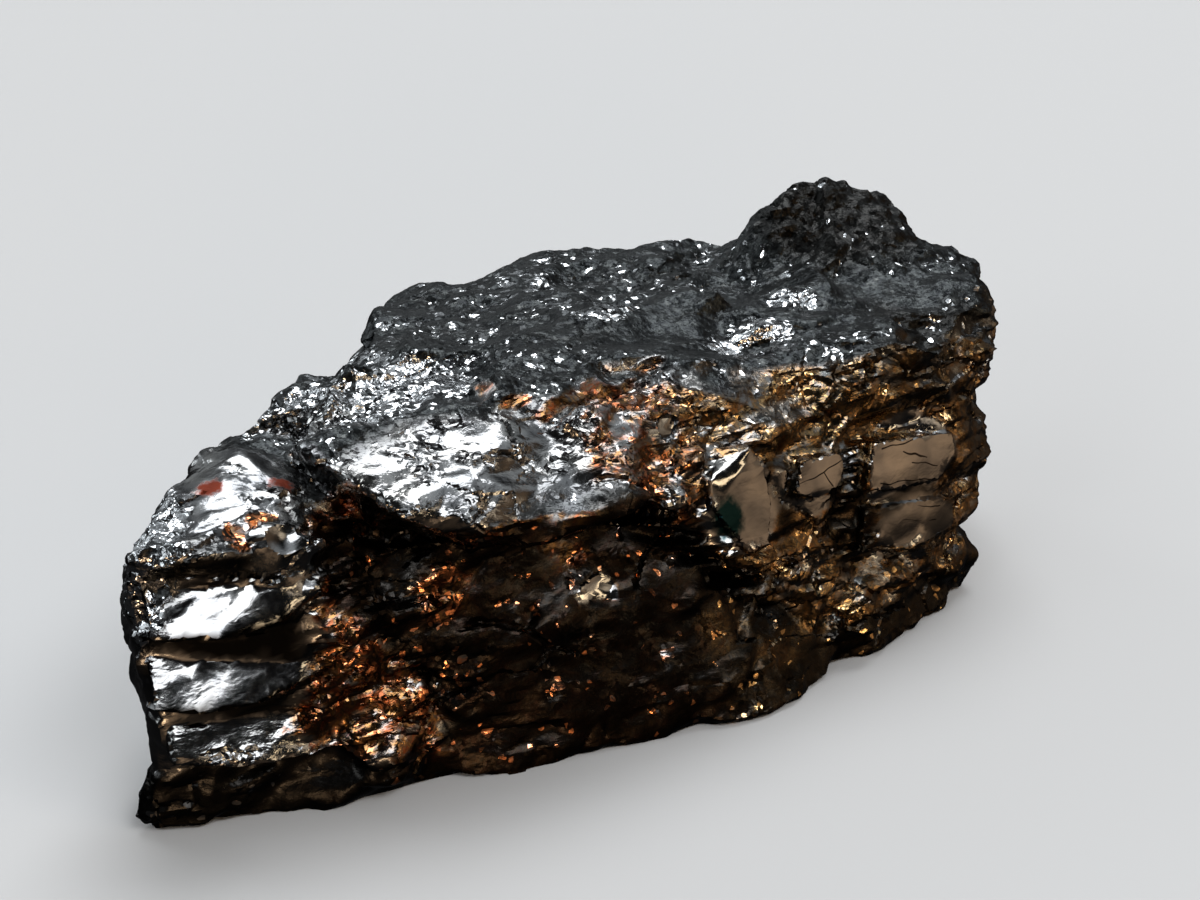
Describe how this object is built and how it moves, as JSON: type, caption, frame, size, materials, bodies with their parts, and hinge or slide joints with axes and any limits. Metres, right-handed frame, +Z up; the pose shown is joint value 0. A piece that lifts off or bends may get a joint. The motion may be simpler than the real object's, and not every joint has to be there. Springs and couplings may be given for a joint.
{
  "type": "shungite rock",
  "caption": "Natural lump of black, glassy shungite: a long, layered block with a broken front, a sloping top with a low hump, and a flat spot it rests on.",
  "frame": {"origin": "middle of the bounding box in X and Y, at the height of the flat spot it rests on", "axes": "+X along the rock, from its stepped left end to its humped right end; +Z up; the broken front faces -Y"},
  "size_m": [0.0534, 0.0284, 0.0201],
  "materials": {
    "shungite": "glassy black with a metallic lustre, broken along its layers"
  },
  "bodies": {
    "root": {"shungite_rock": "shungite"}
  },
  "joints": []
}
